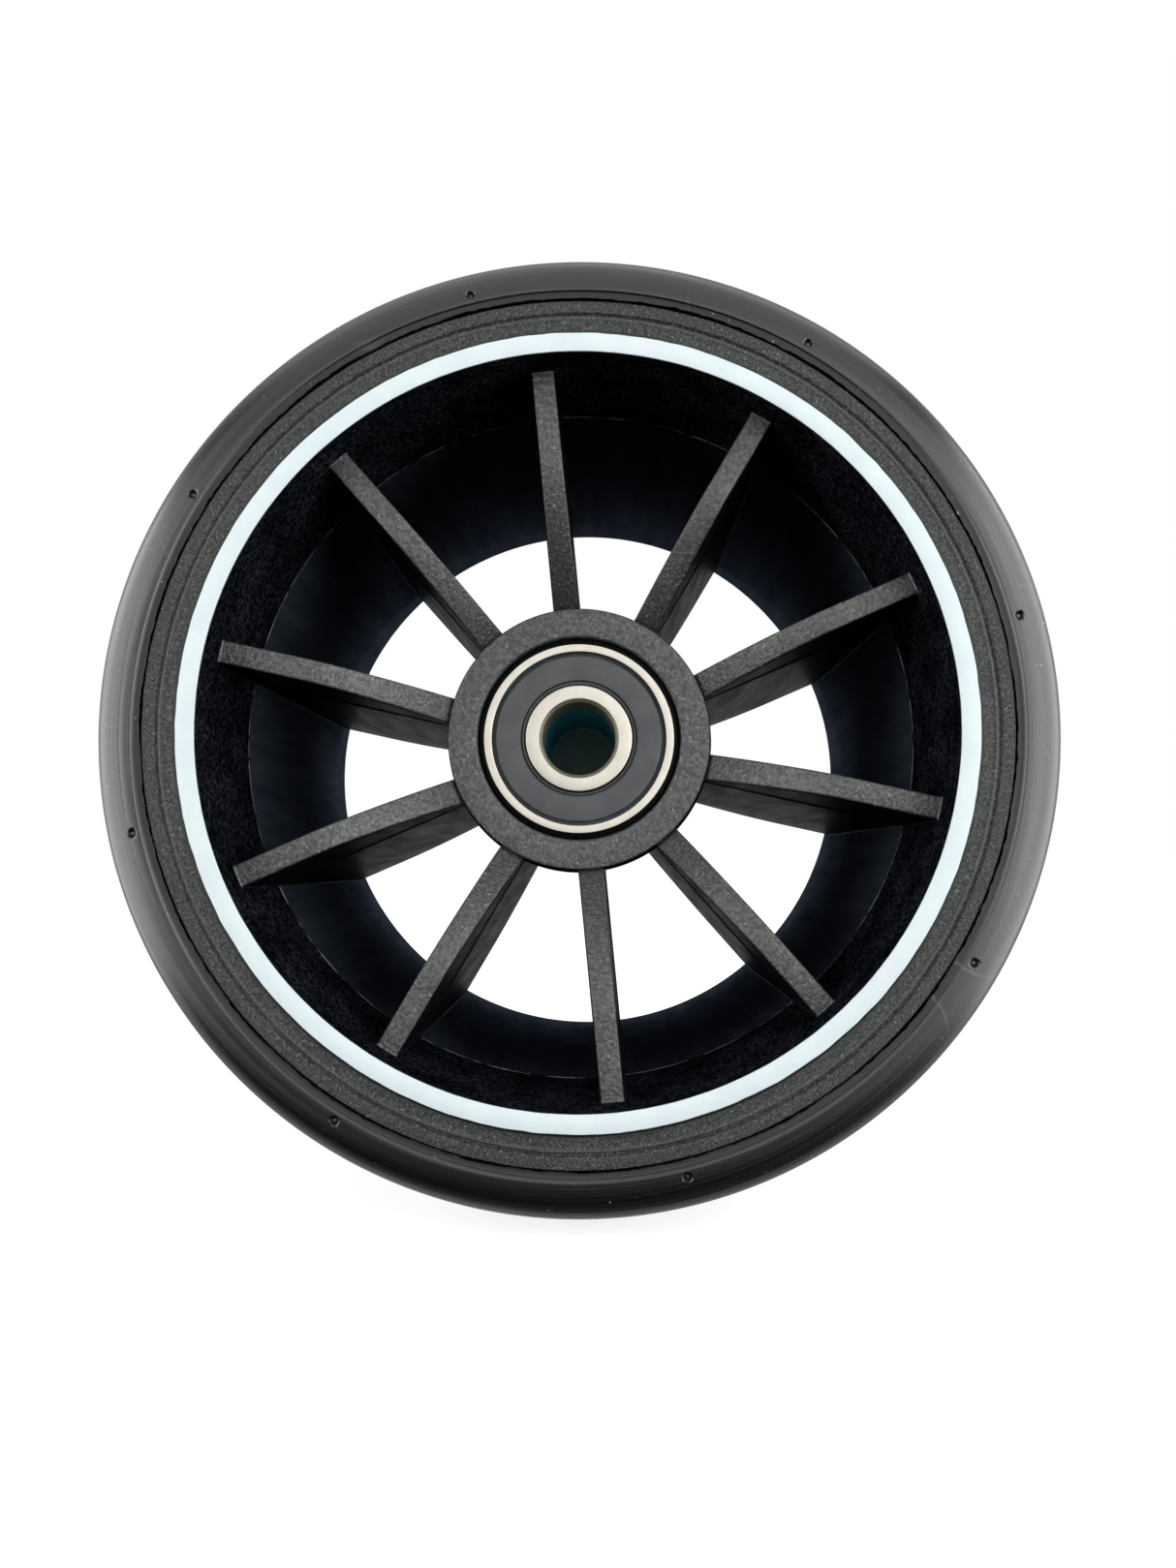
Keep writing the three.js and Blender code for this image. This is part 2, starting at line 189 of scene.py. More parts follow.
def rounded(corners, steps=4):
    """Closed profile through (radius, y, fillet) corners, each turned with its own fillet."""
    points = []
    count = len(corners)
    for i, (r, y, fillet) in enumerate(corners):
        corner = Vector((r, y))
        if fillet <= 0:
            points.append(corner)
            continue
        before = Vector(corners[i - 1][:2]) - corner
        after = Vector(corners[(i + 1) % count][:2]) - corner
        half = before.angle(after) / 2
        if half > math.radians(NEARLY_STRAIGHT_DEGREES):
            points.append(corner)
            continue
        room = (FILLET_SHARE * before.length, FILLET_SHARE * after.length)
        reach = min(fillet / math.tan(half), *room)
        radius = reach * math.tan(half)
        bisector = (before.normalized() + after.normalized()).normalized()
        centre = corner + bisector * (radius / math.sin(half))
        start = corner + before.normalized() * reach - centre
        end = corner + after.normalized() * reach - centre
        turn = start.angle_signed(end)
        for step in range(steps + 1):
            points.append(centre + Matrix.Rotation(-turn * step / steps, 2) @ start)
    return points


def wobble(angle, frequency, seed):
    """Smooth noise round a circle, from about -1 to 1, that closes on itself."""
    spot = Vector((math.cos(angle) * frequency, math.sin(angle) * frequency, seed))
    return noise.noise(spot) * NOISE_GAIN


class MeshDraft:
    """Collects vertices in mm, faces and their material slots."""

    def __init__(self):
        self.vertices = []
        self.faces = []
        self.slots = []

    def add_vertex(self, x, y, z):
        self.vertices.append((x * MM, y * MM, z * MM))
        return len(self.vertices) - 1

    def add_face(self, corners, slot=0):
        self.faces.append(corners)
        self.slots.append(slot)

    def build(self, name, materials, sharp_degrees=32):
        mesh = bpy.data.meshes.new(name)
        mesh.from_pydata(self.vertices, [], self.faces)
        for material in materials:
            mesh.materials.append(material)
        mesh.polygons.foreach_set("material_index", self.slots)
        mesh.polygons.foreach_set("use_smooth", [True] * len(self.faces))
        mesh.set_sharp_from_angle(angle=math.radians(sharp_degrees))
        mesh.validate()
        piece = bpy.data.objects.new(name, mesh)
        bpy.context.collection.objects.link(piece)
        return piece


def add_ring(draft, profile, segments, zone=None, shape=None):
    """Turns a closed profile of (radius, y) points round the Y axis into the draft.

    zone(radius, y) picks a material slot, and shape(radius, y, angle) moves a point.
    A clockwise profile is reversed first, so that every face looks outwards."""
    sides = zip(profile, profile[1:] + profile[:1])
    area = sum(a[0] * b[1] - b[0] * a[1] for a, b in sides)
    if area < 0:
        profile = profile[::-1]
    rows = []
    for i in range(segments):
        angle = 2 * math.pi * i / segments
        row = []
        for r, y in profile:
            radius, height = shape(r, y, angle) if shape else (r, y)
            row.append(draft.add_vertex(radius * math.cos(angle), height, radius * math.sin(angle)))
        rows.append(row)
    size = len(profile)
    for i in range(segments):
        here, there = rows[i], rows[(i + 1) % segments]
        for j in range(size):
            k = (j + 1) % size
            middle_r = (profile[j][0] + profile[k][0]) / 2
            middle_y = (profile[j][1] + profile[k][1]) / 2
            slot = zone(middle_r, middle_y) if zone else 0
            draft.add_face((here[j], here[k], there[k], there[j]), slot)


def join_rows(draft, rows, sides):
    """Joins rings of vertices one after the other; a row of one vertex is a pole."""
    for upper, lower in zip(rows, rows[1:]):
        for s in range(sides):
            t = (s + 1) % sides
            here = (upper[s % len(upper)], lower[s % len(lower)])
            there = (lower[t % len(lower)], upper[t % len(upper)])
            draft.add_face(tuple(dict.fromkeys(here + there)))


def ring_piece(name, profile, segments, materials, zone=None, shape=None):
    draft = MeshDraft()
    add_ring(draft, profile, segments, zone, shape)
    return draft.build(name, materials)


# ---------------------------------------------------------------- material helpers


class Shader:
    """A small helper round one Principled material that works in object space."""

    def __init__(self, name, **constants):
        self.material = bpy.data.materials.new(name)
        self.material.use_nodes = True
        self.nodes = self.material.node_tree.nodes
        self.links = self.material.node_tree.links
        self.surface = self.nodes["Principled BSDF"]
        for socket, value in constants.items():
            self.surface.inputs[socket.replace("_", " ")].default_value = value
        self.space = self.nodes.new("ShaderNodeTexCoord").outputs["Object"]

    def link(self, output, node, socket):
        self.links.new(output, node.inputs[socket])

    def stretched(self, scale):
        mapping = self.nodes.new("ShaderNodeMapping")
        mapping.inputs["Scale"].default_value = scale
        self.link(self.space, mapping, "Vector")
        return mapping.outputs["Vector"]

    def distance_mm(self, full, flat=False):
        """Distance from the origin or, if flat, from the wheel's axis, in units of full mm."""
        scaled = self.nodes.new("ShaderNodeVectorMath")
        scaled.operation = "MULTIPLY"
        scale = 1 / (full * MM)
        scaled.inputs[1].default_value = (scale, 0.0 if flat else scale, scale)
        self.link(self.space, scaled, "Vector")
        length = self.nodes.new("ShaderNodeVectorMath")
        length.operation = "LENGTH"
        self.links.new(scaled.outputs["Vector"], length.inputs[0])
        return length.outputs["Value"]

    def line(self, value, centre, half_width):
        """1 where the value is at the centre, falling to 0 at half a width away."""
        away = self.math("ABSOLUTE", self.math("SUBTRACT", value, centre))
        node = self.nodes.new("ShaderNodeMapRange")
        node.interpolation_type = "SMOOTHSTEP"
        node.inputs["From Max"].default_value = half_width
        node.inputs["To Min"].default_value = 1.0
        node.inputs["To Max"].default_value = 0.0
        self.link(away, node, "Value")
        return node.outputs["Result"]

    def along_axis(self):
        split = self.nodes.new("ShaderNodeSeparateXYZ")
        self.links.new(self.space, split.inputs[0])
        return split.outputs["Y"]

    def circled(self, per_mm):
        """Coordinates that change with radius and depth, and only slowly round the wheel."""
        join = self.nodes.new("ShaderNodeCombineXYZ")
        self.link(self.math("MULTIPLY", self.distance_mm(1, flat=True), per_mm), join, "X")
        self.link(self.math("MULTIPLY", self.along_axis(), per_mm / MM), join, "Y")
        drift = self.nodes.new("ShaderNodeVectorMath")
        drift.operation = "MULTIPLY_ADD"
        drift.inputs[1].default_value = (0.04 / MM, 0.0, 0.04 / MM)
        self.links.new(self.space, drift.inputs[0])
        self.links.new(join.outputs["Vector"], drift.inputs[2])
        node = self.nodes.new("ShaderNodeTexNoise")
        node.inputs["Scale"].default_value = 1.0
        node.inputs["Detail"].default_value = 3.0
        self.link(drift.outputs["Vector"], node, "Vector")
        return node.outputs["Fac"]

    def noise(self, per_mm, detail=3.0, roughness=0.55, vector=None):
        node = self.nodes.new("ShaderNodeTexNoise")
        node.inputs["Scale"].default_value = per_mm / MM
        node.inputs["Detail"].default_value = detail
        node.inputs["Roughness"].default_value = roughness
        self.link(vector or self.space, node, "Vector")
        return node.outputs["Fac"]

    def ramp(self, value, stops):
        node = self.nodes.new("ShaderNodeValToRGB")
        elements = node.color_ramp.elements
        while len(elements) < len(stops):
            elements.new(0.5)
        for element, (position, colour) in zip(elements, stops):
            element.position = position
            if not isinstance(colour, tuple):
                colour = (colour, colour, colour)
            element.color = (*colour, 1.0)
        self.link(value, node, "Fac")
        return node.outputs["Color"]

    def math(self, operation, first, second=None):
        node = self.nodes.new("ShaderNodeMath")
        node.operation = operation
        for index, value in enumerate((first, second)):
            if value is None:
                continue
            if isinstance(value, (int, float)):
                node.inputs[index].default_value = value
            else:
                self.links.new(value, node.inputs[index])
        return node.outputs["Value"]

    def mix(self, factor, first, second, blend="MIX"):
        node = self.nodes.new("ShaderNodeMix")
        node.data_type = "RGBA"
        node.blend_type = blend
        for socket, value in ((0, factor), (6, first), (7, second)):
            if isinstance(value, (int, float)):
                node.inputs[socket].default_value = value
            elif isinstance(value, tuple):
                node.inputs[socket].default_value = (*value, 1.0)
            else:
                self.links.new(value, node.inputs[socket])
        return node.outputs[2]

    def bump(self, height, strength, distance_mm, after=None):
        node = self.nodes.new("ShaderNodeBump")
        node.inputs["Strength"].default_value = strength
        node.inputs["Distance"].default_value = distance_mm * MM
        self.link(height, node, "Height")
        if after:
            self.link(after, node, "Normal")
        return node.outputs["Normal"]

    def finish(self, colour=None, roughness=None, normal=None):
        if colour:
            self.link(colour, self.surface, "Base Color")
        if roughness:
            self.link(roughness, self.surface, "Roughness")
        if normal:
            self.link(normal, self.surface, "Normal")
        return self.material


# ---------------------------------------------------------------- materials


def face_plastic(name, gloss, grain_per_mm, grain_height):
    """Glass-filled plastic with a moulded grain and pale fibre specks, a painted highlight along
    the ridge and painted shade at the foot of the step beside the paint.
    """
    shader = Shader(name, IOR=1.6, Specular_IOR_Level=gloss)
    grain = shader.noise(grain_per_mm, detail=3, roughness=0.6)
    tone = shader.ramp(grain, [(0.4, (0.002, 0.003, 0.003)), (0.6, (0.052, 0.056, 0.055))])
    cloud = shader.ramp(shader.noise(0.2, detail=3), [(0.3, 0.72), (0.7, 1.0)])
    cloudy = shader.mix(1.0, tone, cloud, "MULTIPLY")
    fleck = shader.ramp(shader.noise(3.1, detail=2, roughness=0.6), [(0.6, 0.0), (0.74, 1.0)])
    flecked = shader.mix(fleck, cloudy, (0.19, 0.195, 0.19))
    radius = shader.distance_mm(1, flat=True)
    # Painted highlight: the ridge is made lighter, standing in for the light it catches.
    ridge_highlight_mask = shader.math("MULTIPLY", shader.line(radius, RIDGE_RADIUS, 0.24), grain)
    ridge_highlighted = shader.mix(ridge_highlight_mask, flecked, (0.09, 0.09, 0.087))
    # Painted shade: a dark line at the foot of the step beside the paint.
    foot_shade = shader.line(radius, PAINT_OUTER_RADIUS + 0.24, 0.36)
    colour = shader.mix(shader.math("MULTIPLY", foot_shade, 0.85), ridge_highlighted, (0.006, 0.006, 0.007))
    roughness = shader.ramp(grain, [(0.35, 0.64), (0.65, 0.46)])
    fine = shader.bump(grain, 1.0, grain_height)
    normal = shader.bump(shader.noise(0.5, detail=2), 0.25, 0.05, after=fine)
    return shader.finish(colour, roughness, normal)


def shaded_wall_plastic():
    """Inner wall in front of the mould's parting: dark and grained, with a pale broken flash;
    darker than the face, as painted shade inside the barrel.
    """
    shader = Shader("core_wall_shade", Specular_IOR_Level=0.0, Roughness=0.6)
    grain = shader.noise(2.2, detail=4, roughness=0.75)
    # Painted shade: these tones are darker than the face plastic's, for the shade inside the
    # barrel.
    tone = shader.ramp(grain, [(0.45, (0.002, 0.0025, 0.004)), (0.7, (0.035, 0.037, 0.05))])
    patch = shader.ramp(shader.noise(0.25, detail=3), [(0.35, 0.35), (0.65, 1.0)])
    patchy = shader.mix(1.0, tone, patch, "MULTIPLY")
    flash = shader.line(shader.along_axis(), at_depth(PARTING_DEPTH) * MM, 0.14 * MM)
    broken = shader.ramp(shader.noise(0.35, detail=3, roughness=0.7), [(0.42, 0.0), (0.58, 1.0)])
    colour = shader.mix(shader.math("MULTIPLY", flash, broken), patchy, (0.4, 0.43, 0.48))
    return shader.finish(colour, normal=shader.bump(grain, 0.6, 0.06))


def smooth_plastic(name, dark, light, gloss):
    """Moulded by a polished tool: smooth, with long faint flow marks."""
    shader = Shader(name, Specular_IOR_Level=gloss)
    flow = shader.noise(0.5, detail=4, vector=shader.stretched((1.0, 0.12, 1.0)))
    colour = shader.ramp(flow, [(0.3, dark), (0.7, light)])
    roughness = shader.ramp(flow, [(0.3, 0.36), (0.7, 0.5)])
    return shader.finish(colour, roughness, shader.bump(flow, 0.2, 0.06))


def tyre_rubber(name, gloss):
    """Smooth solid tyre: dark rubber with dust specks, faint streaks round the shoulder and a
    painted highlight along the crease by the bead.
    """
    shader = Shader(name, Specular_IOR_Level=gloss)
    skin = shader.noise(3.0, detail=5, roughness=0.65)
    patches = shader.noise(0.07, detail=4, roughness=0.6)
    base = shader.ramp(patches, [(0.3, (0.0022, 0.0025, 0.0034)), (0.7, (0.0038, 0.0042, 0.0052))])
    dust = shader.ramp(shader.noise(2.0, detail=1, roughness=0.4), [(0.76, 0.0), (0.81, 1.0)])
    dusted = shader.mix(dust, base, (0.2, 0.21, 0.2))
    scuff = shader.line(shader.noise(0.045, detail=0), 0.5, 0.0018)
    worn = shader.ramp(shader.noise(0.09, detail=2), [(0.5, 0.0), (0.6, 0.5)])
    scuffed = shader.mix(shader.math("MULTIPLY", scuff, worn), dusted, (0.11, 0.115, 0.11))
    radius = shader.distance_mm(1, flat=True)
    # Painted highlight: a lighter line along the crease by the bead.
    crease_highlight = shader.math("MULTIPLY", shader.line(radius, CREASE_RADIUS - 0.04, 0.1), 0.4)
    colour = shader.mix(crease_highlight, scuffed, (0.13, 0.135, 0.13))
    streaks = shader.circled(2.2)
    roughness = shader.ramp(streaks, [(0.3, 0.28), (0.7, 0.42)])
    fine = shader.bump(skin, 0.26, 0.03)
    ringed = shader.bump(shader.circled(6.0), 0.3, 0.03, after=fine)
    normal = shader.bump(streaks, 0.4, 0.09, after=ringed)
    return shader.finish(colour, roughness, normal)


def stripe_paint():
    """Bluish white paint over the grained lip, with a few small stains and worn spots."""
    shader = Shader("stripe_paint", Specular_IOR_Level=0.5)
    grain = shader.noise(3.5, detail=4, roughness=0.7)
    wear = shader.noise(0.3, detail=3)
    base = shader.ramp(wear, [(0.3, (0.69, 0.765, 0.815)), (0.7, (0.745, 0.82, 0.86))])
    stain = shader.ramp(shader.noise(0.55, detail=4, roughness=0.75), [(0.7, 0.0), (0.8, 0.75)])
    stained = shader.mix(stain, base, (0.6, 0.58, 0.55))
    chip = shader.ramp(shader.noise(1.9, detail=2, roughness=0.5), [(0.8, 0.0), (0.83, 1.0)])
    colour = shader.mix(chip, stained, (0.3, 0.29, 0.29))
    roughness = shader.ramp(grain, [(0.3, 0.4), (0.7, 0.55)])
    return shader.finish(colour, roughness, shader.bump(grain, 0.3, 0.02))


def ground_steel():
    """Ground bearing steel: warm, with fine marks round the axis and soft smudges."""
    shader = Shader("ground_steel", Metallic=1.0)
    marks = shader.noise(14.0, detail=3, roughness=0.7)
    smudge = shader.noise(0.6, detail=3)
    colour = shader.ramp(smudge, [(0.3, (0.6, 0.57, 0.5)), (0.7, (0.67, 0.64, 0.57))])
    roughness = shader.ramp(marks, [(0.3, 0.27), (0.7, 0.42)])
    return shader.finish(colour, roughness, shader.bump(marks, 0.22, 0.01))


def turned_steel(name, dark, light):
    """Bore and chamfers of the rings, left with the oxide of their hardening; the near-black copy
    on the outer chamfers adds painted shade to the oxide.
    """
    shader = Shader(name, Metallic=0.8)
    scale = shader.noise(5.0, detail=3, roughness=0.6)
    roughness = shader.ramp(scale, [(0.3, 0.4), (0.7, 0.55)])
    colour = shader.ramp(scale, [(0.3, dark), (0.7, light)])
    return shader.finish(colour, roughness, shader.bump(scale, 0.2, 0.02))


def polished_steel():
    """Lapped balls: near mirror, with a trace of grease film."""
    shader = Shader("polished_steel", Metallic=1.0)
    film = shader.noise(1.2, detail=3)
    colour = shader.ramp(film, [(0.35, (0.62, 0.62, 0.61)), (0.7, (0.74, 0.73, 0.70))])
    roughness = shader.ramp(film, [(0.3, 0.06), (0.7, 0.16)])
    return shader.finish(colour, roughness, shader.bump(film, 0.05, 0.02))


def seal_rubber():
    """Nitrile seal: satin bluish black with a fine press skin."""
    shader = Shader("seal_rubber", Specular_IOR_Level=0.5)
    skin = shader.noise(6.0, detail=4, roughness=0.65)
    bloom = shader.noise(0.35, detail=3)
    colour = shader.ramp(bloom, [(0.3, (0.055, 0.058, 0.066)), (0.7, (0.08, 0.083, 0.092))])
    roughness = shader.ramp(skin, [(0.3, 0.42), (0.7, 0.58)])
    return shader.finish(colour, roughness, shader.bump(skin, 0.2, 0.02))


def cage_nylon():
    """Natural nylon cage: cream, slightly waxy."""
    shader = Shader("cage_nylon", Subsurface_Weight=0.1, Specular_IOR_Level=0.45)
    flow = shader.noise(1.1, detail=3)
    colour = shader.ramp(flow, [(0.3, (0.55, 0.50, 0.38)), (0.7, (0.66, 0.61, 0.49))])
    roughness = shader.ramp(flow, [(0.3, 0.35), (0.7, 0.5)])
    return shader.finish(colour, roughness, shader.bump(flow, 0.1, 0.03))


def spacer_metal():
    """Turned spacer tube, coloured dark teal, with tool marks along its length."""
    shader = Shader("spacer_metal", Metallic=0.5)
    tool = shader.noise(7.0, detail=2, vector=shader.stretched((0.15, 1.0, 0.15)))
    colour = shader.ramp(tool, [(0.3, (0.012, 0.36, 0.46)), (0.7, (0.025, 0.48, 0.58))])
    roughness = shader.ramp(tool, [(0.3, 0.3), (0.7, 0.46)])
    return shader.finish(colour, roughness, shader.bump(tool, 0.15, 0.02))


FACE_PLASTIC = face_plastic("core_grain", gloss=0.94, grain_per_mm=2.5, grain_height=0.13)
LIP_PLASTIC = face_plastic("core_lip", gloss=0.45, grain_per_mm=4.2, grain_height=0.07)
SHADED_WALL_PLASTIC = shaded_wall_plastic()
# Painted sheen: the polished rear walls get a lighter, bluish tone and no specular, standing in for
# the sheen they catch from the opening behind.
SHEEN_SMOOTH_PLASTIC = smooth_plastic("core_smooth_sheen", (0.024, 0.03, 0.044), (0.045, 0.053, 0.072), 0.0)
# Painted shade: the spokes' flanks get a near-black copy of the core plastic, for the shade between
# the spokes.
SHADED_FLANK_PLASTIC = smooth_plastic("core_flank_shade", (0.004, 0.004, 0.006), (0.01, 0.011, 0.014), 0.012)
RUBBER = tyre_rubber("tyre_rubber", gloss=1.0)
BEAD_RUBBER = tyre_rubber("bead_rubber", gloss=0.55)
PAINT = stripe_paint()
STEEL = ground_steel()
BORE_STEEL = turned_steel("bore_steel", (0.29, 0.265, 0.2), (0.43, 0.39, 0.31))
# Painted shade: the outer chamfers are near black for the shadow in the gap beside the seat, on top
# of their oxide.
EDGE_SHADE_STEEL = turned_steel("edge_shade_steel", (0.012, 0.012, 0.011), (0.03, 0.03, 0.027))
BALL_STEEL = polished_steel()
SEAL = seal_rubber()
NYLON = cage_nylon()
SPACER = spacer_metal()

# ---------------------------------------------------------------- moulded core

GRAIN_SLOT, LIP_SLOT, WALL_SLOT, SMOOTH_SLOT, FLANK_SLOT = range(5)


def blend_at(depth, lip, rear_lip, parting):
    """A drafted wall's radius: it runs from each lip to the parting plane."""
    if depth < PARTING_DEPTH:
        return lip + (parting - lip) * depth / PARTING_DEPTH
    share = (depth - PARTING_DEPTH) / (WHEEL_WIDTH - PARTING_DEPTH)
    return parting + (rear_lip - parting) * share


def rim_wall(depth):
    """Radius at which the spokes meet the rim."""
    return blend_at(depth, LIP_RADIUS, REAR_LIP_RADIUS, PARTING_RADIUS)


def hub_wall(depth):
    """Radius at which the spokes start, a little inside the hub towards its two faces."""
    sunk = HUB_RADIUS - SPOKE_ROOT_SINK
    return blend_at(depth, sunk, sunk, HUB_PARTING_RADIUS)


def rim_profile():
    """The barrel's section: painted bead, grained bands with a ridge and groove, waist and wall."""
    parting = at_depth(PARTING_DEPTH)
    bead = PAINT_THICKNESS
    front = [
        (LIP_RADIUS, at_depth(bead), 0.12),
        (PAINT_OUTER_RADIUS + 0.06, at_depth(bead), 0.1),
        (PAINT_OUTER_RADIUS + 0.28, at_depth(BAND_DEPTH), 0.08),
        (RIDGE_RADIUS - 0.36, at_depth(BAND_DEPTH), 0.25),
        (RIDGE_RADIUS - 0.08, at_depth(BAND_DEPTH - 0.1), 0.15),
        (RIDGE_RADIUS + 0.1, at_depth(BAND_DEPTH - 0.05), 0.08),
        (GROOVE_RADIUS - 0.12, at_depth(BAND_DEPTH + GROOVE_DEPTH), 0.11),
        (GROOVE_RADIUS + 0.06, at_depth(BAND_DEPTH + GROOVE_DEPTH), 0.1),
        (GROOVE_RADIUS + 0.26, at_depth(BAND_DEPTH - 0.02), 0.15),
        (RIM_RADIUS, at_depth(BAND_DEPTH - 0.06), 0.07),
        (RIM_RADIUS, at_depth(WAIST_DEPTH), 0.2),
        (WAIST_RADIUS, at_depth(WAIST_DEPTH), 0.3),
    ]
    rear = [
        (WAIST_RADIUS, -at_depth(WAIST_DEPTH), 0.3),
        (RIM_RADIUS, -at_depth(WAIST_DEPTH), 0.2),
        (RIM_RADIUS, -at_depth(BAND_DEPTH - 0.06), 0.16),
        (GROOVE_RADIUS + 0.2, -at_depth(BAND_DEPTH - 0.02), 0.1),
        (GROOVE_RADIUS - 0.08, -at_depth(BAND_DEPTH + REAR_GROOVE_DEPTH), 0.06),
        (RIDGE_RADIUS + 0.08, -at_depth(BAND_DEPTH - 0.08), 0.05),
        (RIDGE_RADIUS - 0.16, -at_depth(BAND_DEPTH), 0.05),
        (PAINT_OUTER_RADIUS + 0.28, -at_depth(BAND_DEPTH), 0.08),
        (PAINT_OUTER_RADIUS + 0.06, BACK, 0.1),
        (REAR_LIP_RADIUS, BACK, 0.3),
    ]
    wall = [
        (PARTING_RADIUS, parting + RIM_FLASH_HALF, 0),
        (PARTING_RADIUS - FLASH_HEIGHT, parting, 0),
        (PARTING_RADIUS, parting - RIM_FLASH_HALF, 0),
    ]
    return rounded(front + rear + wall)


def rim_shape(r, y, angle):
    """The flash line on the inner wall comes and goes round the rim, and the lip isn't perfect."""
    if abs(y - at_depth(PARTING_DEPTH)) < 0.01:
        presence = max(0.0, min(1.0, FLASH_PRESENCE + wobble(angle, 5, 3.1)))
        drift = FLASH_DRIFT * wobble(angle, 9, 8.0)
        return PARTING_RADIUS - FLASH_HEIGHT * presence, y + drift
    near_a_lip = abs(abs(y) - abs(FRONT)) < 1.2
    if r > RIDGE_RADIUS - 0.3 and near_a_lip:
        return r + LIP_WAVER * wobble(angle, 14, r), y
    return r, y


def rim_zone(r, y):
    """The inner wall changes material at the parting plane, and all else is like the lips."""
    if r < LIP_RADIUS + 0.02 and FRONT + 0.15 < y < BACK - 0.3:
        return WALL_SLOT if y < at_depth(PARTING_DEPTH) + 0.1 else SMOOTH_SLOT
    return LIP_SLOT


def hub_profile():
    """The hub's section, with a seat for a bearing at each end and a shoulder behind it."""
    face = at_depth(HUB_FACE)
    shoulder = at_depth(BEARING_FACE + BEARING_WIDTH + SEAT_CLEARANCE)
    return rounded(
        [
            (HUB_RADIUS - 0.05, face, 0.25),
            (HUB_RADIUS, face + 1.0, 0),
            (HUB_PARTING_RADIUS, at_depth(PARTING_DEPTH), 0),
            (HUB_RADIUS, -face - 1.0, 0),
            (HUB_RADIUS - 0.05, -face, 0.25),
            (SEAT_RADIUS, -face, 0.36),
            (SEAT_RADIUS, -shoulder, 0.1),
            (HUB_BORE_RADIUS, -shoulder, 0.1),
            (HUB_BORE_RADIUS, shoulder, 0.1),
            (SEAT_RADIUS, shoulder, 0.1),
            (SEAT_RADIUS, face, 0.36),
        ]
    )


def hub_zone(r, y):
    if abs(y) > abs(at_depth(HUB_FACE)) - 0.3:
        return GRAIN_SLOT
    return WALL_SLOT if y < at_depth(PARTING_DEPTH) else SMOOTH_SLOT


def flare(distance, fillet):
    """How far a fillet of this radius stands out at a distance from the wall it runs into."""
    near = max(0.0, min(fillet, distance))
    return fillet - math.sqrt(max(0.0, fillet**2 - (fillet - near) ** 2))


def spoke_edge_depth(r):
    """Depth of a spoke's front edge: straight at the rim, then falling away to the hub."""
    reach = (SPOKE_BEND_RADIUS - r) / (SPOKE_BEND_RADIUS - HUB_PARTING_RADIUS)
    fall = max(0.0, reach) ** SPOKE_CURVE_POWER
    return SPOKE_EDGE_DEPTH + (SPOKE_HUB_DEPTH - SPOKE_EDGE_DEPTH) * fall


def spoke_stations():
    """Shares of the way from the hub to the rim, closer together in the two fillets."""
    close = [0.0, 0.002, 0.005, 0.009, 0.014, 0.02, 0.03]
    middle = [0.03 + 0.94 * i / SPOKE_SPANS for i in range(1, SPOKE_SPANS)]
    return [-0.012] + close + middle + [1 - share for share in reversed(close)] + [1.012]


def spoke_half_thickness(depth):
    """Half of a spoke's thickness; the rear half of the mould is a hair narrower."""
    if depth <= PARTING_DEPTH:
        share = (depth - SPOKE_EDGE_DEPTH) / (PARTING_DEPTH - SPOKE_EDGE_DEPTH)
        mismatch = 0.0
    else:
        far = WHEEL_WIDTH - SPOKE_EDGE_DEPTH
        share = (far - depth) / (far - PARTING_DEPTH)
        mismatch = MOULD_MISMATCH
    return SPOKE_EDGE_HALF + (SPOKE_PARTING_HALF - SPOKE_EDGE_HALF) * share - mismatch


def spoke_corner(edge, inward):
    """Rounded corner from the flat of a free edge to the flank, as (half, depth) points."""
    points = []
    for step in range(CORNER_STEPS + 1):
        turn = math.pi / 2 * (1 - step / CORNER_STEPS)
        depth = edge + inward * SPOKE_CORNER * (1 - math.sin(turn))
        half = spoke_half_thickness(depth) - SPOKE_CORNER * (1 - math.cos(turn))
        points.append((half, depth))
    return points


def spoke_section(r, to_rim):
    """Closed (half, depth) loop across a spoke at radius r, a little way from the rim."""
    grow = flare(to_rim, SPOKE_FILLET)
    front = spoke_edge_depth(r) - grow
    rear = WHEEL_WIDTH - front
    depths = []
    for start, finish in ((front, PARTING_DEPTH), (PARTING_DEPTH, rear)):
        depths += [start + (finish - start) * share for share in (0.2, 0.5, 0.8)]
    depths += [PARTING_DEPTH - FLASH_WIDTH, PARTING_DEPTH, PARTING_DEPTH + FLASH_WIDTH]
    flank = []
    for depth in sorted(depths):
        flash = FLASH_HEIGHT if depth == PARTING_DEPTH else 0.0
        flank.append((spoke_half_thickness(depth) + flash, depth))
    side = spoke_corner(front, 1) + flank + spoke_corner(rear, -1)[::-1]
    side = [(half + grow, depth) for half, depth in side]
    return side + [(-half, depth) for half, depth in reversed(side)]


